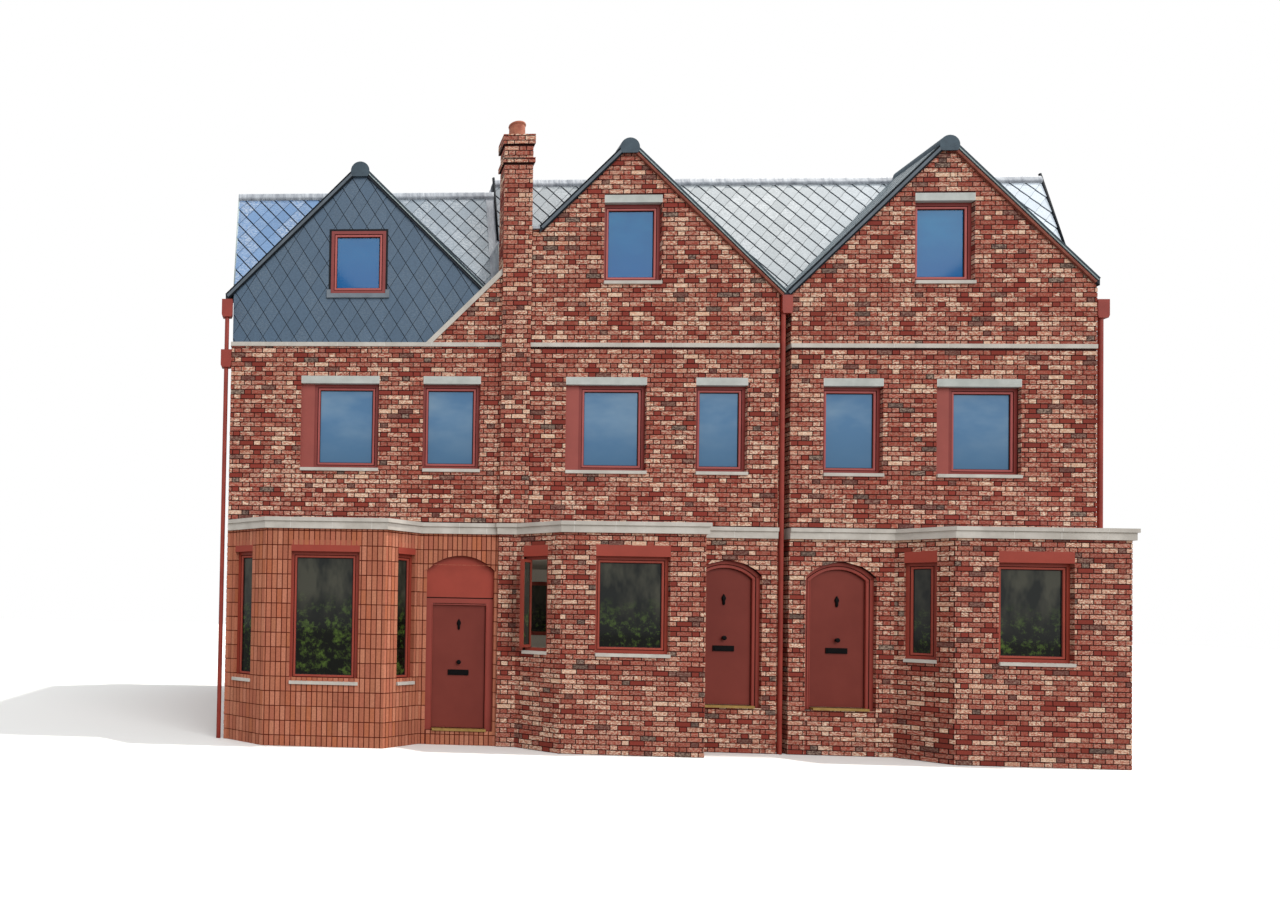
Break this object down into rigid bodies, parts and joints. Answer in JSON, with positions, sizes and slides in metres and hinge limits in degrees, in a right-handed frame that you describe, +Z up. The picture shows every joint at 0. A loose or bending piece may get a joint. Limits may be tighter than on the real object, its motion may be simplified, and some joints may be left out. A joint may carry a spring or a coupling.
{
  "type": "terraced house row",
  "caption": "Row of three brick houses with canted bays, pointed gables over a steep slate roof, stone cornice, chimney and opening front doors.",
  "frame": {"origin": "ground level, below the middle of the whole row's outline", "axes": "+X along the street front, from the left house to the right house as seen from the street; +Y from the street to the back; +Z up"},
  "size_m": [13.65, 9.647, 9.945],
  "materials": {
    "brick": "mixed red-brown and cream facing bricks",
    "terracotta": "fired terracotta",
    "slate": "dark blue-grey slate",
    "pale_slate": "weathered silvery slate",
    "ridge": "dark clay",
    "lead": "dull sheet lead",
    "stone": "pale cast stone",
    "floor": "screed",
    "frame_paint": "oxide red paint",
    "door_paint": "dark red paint",
    "pipe_paint": "oxide red paint",
    "ironmongery": "black paint",
    "glass": "clear float glass"
  },
  "bodies": {
    "house": {"ground_piers": "brick", "door_arches": "brick", "bay_left_walls": "brick", "bay_front_walls": "brick", "bay_right_walls": "brick", "upper_wall_left": "brick", "upper_wall_middle": "brick", "upper_wall_right": "brick", "slate_gable_wall": "slate", "raking_parapet": "brick", "end_walls": "brick", "party_walls": "brick", "rear_wall": "brick", "ground_floors": "floor", "first_floors": "floor", "attic_floors": "floor", "bay_slabs": "floor", "mansard_front": "pale_slate", "mansard_rear": "pale_slate", "roof_deck": "lead", "gable_slopes_left": "slate", "gable_slopes_right": "slate", "ridge_tiles": "ridge", "lead_flashings": "lead", "cornice": "stone", "string_courses": "stone", "stone_lintels": "stone", "stone_sills": "stone", "painted_panels": "frame_paint", "window_frames_front": "frame_paint", "window_frames_rear": "frame_paint", "glass_front": "glass", "glass_rear": "glass", "open_casement": "frame_paint", "door_frames": "frame_paint", "thresholds": "brick", "chimney_stack": "brick", "chimney_pot": "terracotta", "rainwater_goods": "pipe_paint"},
    "left_door": {"door_left": "door_paint", "door_fittings_left": "ironmongery"},
    "middle_door": {"door_middle": "door_paint", "door_fittings_middle": "ironmongery"},
    "right_door": {"door_right": "door_paint", "door_fittings_right": "ironmongery"}
  },
  "joints": [
    {"name": "left_door_hinge", "type": "hinge", "parent": "house", "child": "left_door", "pos_m": [-2.497, -4.0465, 1.5], "axis": [0, 0, -1], "range_deg": [0, 90]},
    {"name": "middle_door_hinge", "type": "hinge", "parent": "house", "child": "middle_door", "pos_m": [1.613, -4.0465, 1.5], "axis": [0, 0, -1], "range_deg": [0, 90]},
    {"name": "right_door_hinge", "type": "hinge", "parent": "house", "child": "right_door", "pos_m": [2.467, -4.0465, 1.5], "axis": [0, 0, 1], "range_deg": [0, 90]}
  ]
}
